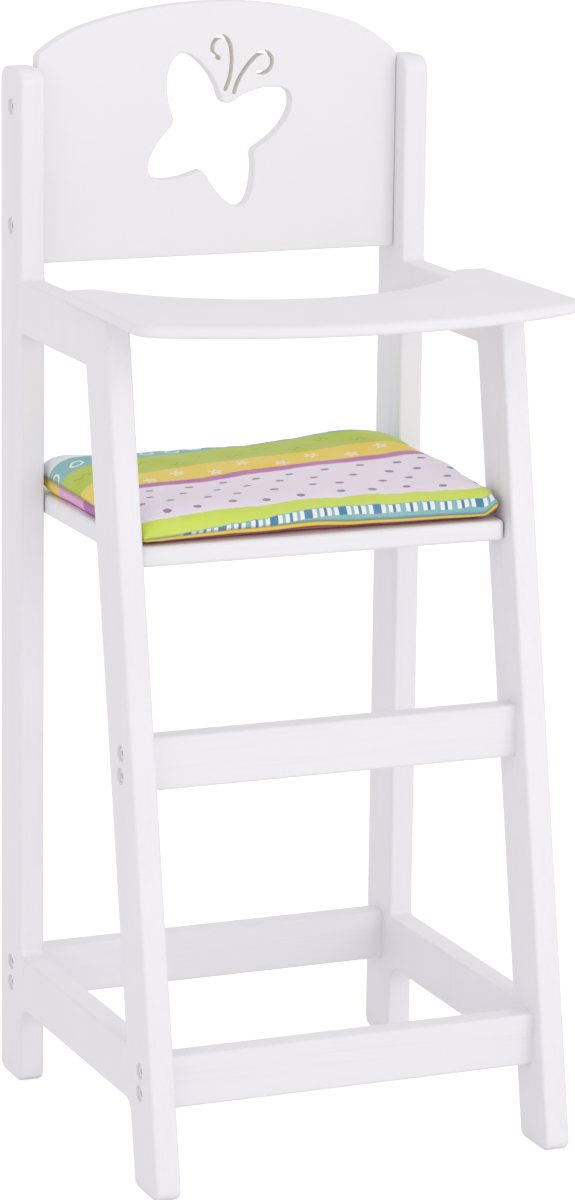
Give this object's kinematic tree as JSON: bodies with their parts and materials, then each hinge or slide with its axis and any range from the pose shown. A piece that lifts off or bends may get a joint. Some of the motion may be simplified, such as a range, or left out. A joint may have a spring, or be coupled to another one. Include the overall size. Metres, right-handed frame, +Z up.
{
  "type": "doll high chair",
  "caption": "Wooden high chair for a doll, with raked front legs, a footrest rail, a curved tray, an arched back panel with a butterfly cut-out and a loose striped cushion.",
  "frame": {"origin": "on the floor, in the middle of the chair's width and of its depth", "axes": "+Z up, the front towards -Y, +X to the right of someone who faces the chair"},
  "size_m": [0.231, 0.235, 0.554],
  "materials": {
    "white_paint": "satin white paint on wood",
    "striped_cotton": "printed cotton in lime, orange, lilac, magenta and turquoise stripes",
    "zinc_steel": "bright zinc-plated steel",
    "beech": "bare beech"
  },
  "bodies": {
    "chair": {"left_side_frame": "white_paint", "right_side_frame": "white_paint", "back_panel": "white_paint", "tray": "white_paint", "seat_board": "white_paint", "footrest_rail": "white_paint", "front_lower_rail": "white_paint", "rear_lower_rail": "white_paint", "left_back_panel_screw_upper": "zinc_steel", "left_back_panel_screw_lower": "zinc_steel", "left_footrest_rail_screw_upper": "zinc_steel", "left_footrest_rail_screw_lower": "zinc_steel", "left_front_lower_rail_screw_upper": "zinc_steel", "left_front_lower_rail_screw_lower": "zinc_steel", "left_rear_lower_rail_screw_upper": "zinc_steel", "left_rear_lower_rail_screw_lower": "zinc_steel", "right_back_panel_screw_upper": "zinc_steel", "right_back_panel_screw_lower": "zinc_steel", "right_footrest_rail_screw_upper": "zinc_steel", "right_footrest_rail_screw_lower": "zinc_steel", "right_front_lower_rail_screw_upper": "zinc_steel", "right_front_lower_rail_screw_lower": "zinc_steel", "right_rear_lower_rail_screw_upper": "zinc_steel", "right_rear_lower_rail_screw_lower": "zinc_steel", "left_seat_dowel_rear": "beech", "left_seat_dowel_front": "beech", "left_tray_dowel_rear": "beech", "left_tray_dowel_front": "beech", "right_seat_dowel_rear": "beech", "right_seat_dowel_front": "beech", "right_tray_dowel_rear": "beech", "right_tray_dowel_front": "beech"},
    "cushion": {"seat_cushion": "striped_cotton"}
  },
  "joints": [
    {"name": "cushion_lift", "type": "slide", "parent": "chair", "child": "cushion", "axis": [0, 0, 1], "range_m": [0, 0.082]}
  ]
}
